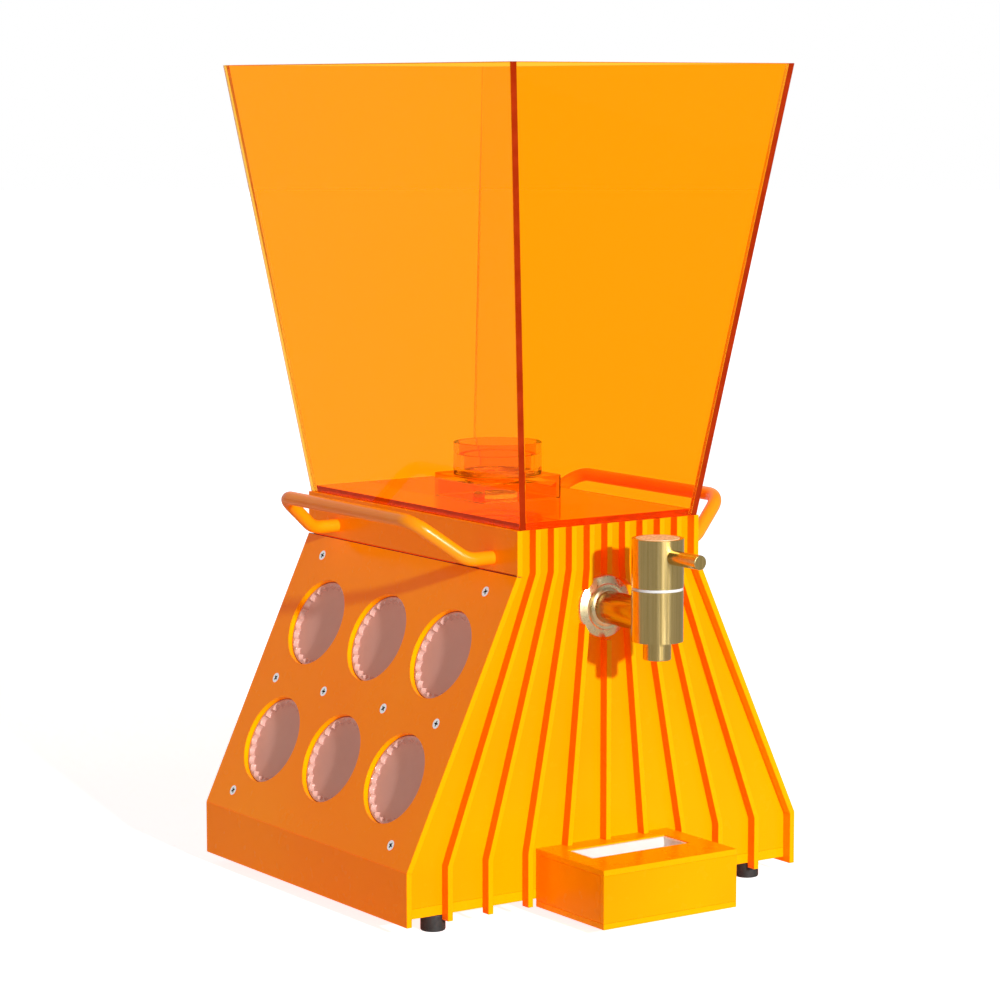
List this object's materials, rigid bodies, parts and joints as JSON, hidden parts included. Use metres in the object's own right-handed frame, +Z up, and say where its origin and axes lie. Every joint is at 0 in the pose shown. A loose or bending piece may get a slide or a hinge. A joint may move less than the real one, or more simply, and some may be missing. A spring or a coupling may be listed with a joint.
{
  "type": "party shot dispenser",
  "caption": "Table drink dispenser with a flared see-through hopper, bottle socket, quarter-turn tap, drip tray, bent-rod handles and shot cups racked in its sloping sides.",
  "frame": {"origin": "centre of the bounding box, on the plane of the feet's soles", "axes": "+Z up, -Y towards the tap and the drip tray, +X to the right seen from the front"},
  "size_m": [0.24, 0.3036, 0.4185],
  "materials": {
    "cabinet_acrylic": "polished cast acrylic",
    "hopper_acrylic": "polished tinted see-through acrylic",
    "fin_acrylic": "polished acrylic with glowing edges",
    "clear_cup": "clear moulded polystyrene",
    "rack_plastic": "moulded plastic",
    "handle_acrylic": "bent acrylic rod",
    "clear_acrylic": "clear polished acrylic",
    "brushed_brass": "turned and brushed",
    "polished_brass": "polished",
    "screw_steel": "bright zinc plated",
    "white_plastic": "white moulded plastic",
    "black_rubber": "moulded rubber",
    "hose_plastic": "flexible clear hose",
    "badge_plastic": "plain disc"
  },
  "bodies": {
    "cabinet": {"front_panel": "cabinet_acrylic", "rear_panel": "cabinet_acrylic", "base_plate": "cabinet_acrylic", "deck_plate": "cabinet_acrylic", "skirt_left": "cabinet_acrylic", "skirt_right": "cabinet_acrylic", "neck_left": "cabinet_acrylic", "neck_right": "cabinet_acrylic", "left_fins": "fin_acrylic", "right_fins": "fin_acrylic", "middle_fins": "fin_acrylic", "cup_panel_left": "cabinet_acrylic", "cup_panel_right": "cabinet_acrylic", "panel_screws": "screw_steel", "cup_rack_left": "rack_plastic", "cup_rack_right": "rack_plastic", "hopper_left": "hopper_acrylic", "hopper_right": "hopper_acrylic", "hopper_front": "hopper_acrylic", "hopper_rear": "hopper_acrylic", "hopper_floor": "hopper_acrylic", "socket_box": "clear_acrylic", "neck_ring": "clear_acrylic", "neck_seal": "black_rubber", "outlet_fitting": "white_plastic", "outlet_nut": "white_plastic", "outlet_elbow": "white_plastic", "hose": "hose_plastic", "tap_flange": "polished_brass", "tap_washer": "black_rubber", "tap_nut": "brushed_brass", "valve_body": "brushed_brass", "tap_shank": "brushed_brass", "nozzle": "brushed_brass", "seal_ring": "white_plastic", "handle_left": "handle_acrylic", "handle_right": "handle_acrylic", "handle_nuts": "screw_steel", "tray_top": "cabinet_acrylic", "tray_floor": "cabinet_acrylic", "tray_front": "cabinet_acrylic", "tray_sides": "cabinet_acrylic", "rubber_feet": "black_rubber"},
    "tap_handle": {"tap_knob": "brushed_brass", "knob_badge": "badge_plastic", "tap_lever": "brushed_brass", "valve_plug": "brushed_brass"},
    "drip_cup": {"drip_cup": "white_plastic"},
    "cup_left_lower_rear": {"cup_left_lower_rear": "clear_cup"},
    "cup_left_lower_middle": {"cup_left_lower_middle": "clear_cup"},
    "cup_left_lower_front": {"cup_left_lower_front": "clear_cup"},
    "cup_left_upper_rear": {"cup_left_upper_rear": "clear_cup"},
    "cup_left_upper_middle": {"cup_left_upper_middle": "clear_cup"},
    "cup_left_upper_front": {"cup_left_upper_front": "clear_cup"},
    "cup_right_lower_rear": {"cup_right_lower_rear": "clear_cup"},
    "cup_right_lower_middle": {"cup_right_lower_middle": "clear_cup"},
    "cup_right_lower_front": {"cup_right_lower_front": "clear_cup"},
    "cup_right_upper_rear": {"cup_right_upper_rear": "clear_cup"},
    "cup_right_upper_middle": {"cup_right_upper_middle": "clear_cup"},
    "cup_right_upper_front": {"cup_right_upper_front": "clear_cup"}
  },
  "joints": [
    {"name": "tap_turn", "type": "hinge", "parent": "cabinet", "child": "tap_handle", "pos_m": [0, -0.1182, 0.1514], "axis": [0, 0, 1], "range_deg": [0, 90]},
    {"name": "drip_cup_lift", "type": "slide", "parent": "cabinet", "child": "drip_cup", "axis": [0, 0, 1], "range_m": [0, 0.04]},
    {"name": "cup_left_lower_rear_pull", "type": "slide", "parent": "cabinet", "child": "cup_left_lower_rear", "axis": [-0.9068, 0, 0.4215], "range_m": [0, 0.08]},
    {"name": "cup_left_lower_middle_pull", "type": "slide", "parent": "cabinet", "child": "cup_left_lower_middle", "axis": [-0.9068, 0, 0.4215], "range_m": [0, 0.08]},
    {"name": "cup_left_lower_front_pull", "type": "slide", "parent": "cabinet", "child": "cup_left_lower_front", "axis": [-0.9068, 0, 0.4215], "range_m": [0, 0.08]},
    {"name": "cup_left_upper_rear_pull", "type": "slide", "parent": "cabinet", "child": "cup_left_upper_rear", "axis": [-0.9068, 0, 0.4215], "range_m": [0, 0.08]},
    {"name": "cup_left_upper_middle_pull", "type": "slide", "parent": "cabinet", "child": "cup_left_upper_middle", "axis": [-0.9068, 0, 0.4215], "range_m": [0, 0.08]},
    {"name": "cup_left_upper_front_pull", "type": "slide", "parent": "cabinet", "child": "cup_left_upper_front", "axis": [-0.9068, 0, 0.4215], "range_m": [0, 0.08]},
    {"name": "cup_right_lower_rear_pull", "type": "slide", "parent": "cabinet", "child": "cup_right_lower_rear", "axis": [0.9068, 0, 0.4215], "range_m": [0, 0.08]},
    {"name": "cup_right_lower_middle_pull", "type": "slide", "parent": "cabinet", "child": "cup_right_lower_middle", "axis": [0.9068, 0, 0.4215], "range_m": [0, 0.08]},
    {"name": "cup_right_lower_front_pull", "type": "slide", "parent": "cabinet", "child": "cup_right_lower_front", "axis": [0.9068, 0, 0.4215], "range_m": [0, 0.08]},
    {"name": "cup_right_upper_rear_pull", "type": "slide", "parent": "cabinet", "child": "cup_right_upper_rear", "axis": [0.9068, 0, 0.4215], "range_m": [0, 0.08]},
    {"name": "cup_right_upper_middle_pull", "type": "slide", "parent": "cabinet", "child": "cup_right_upper_middle", "axis": [0.9068, 0, 0.4215], "range_m": [0, 0.08]},
    {"name": "cup_right_upper_front_pull", "type": "slide", "parent": "cabinet", "child": "cup_right_upper_front", "axis": [0.9068, 0, 0.4215], "range_m": [0, 0.08]}
  ]
}
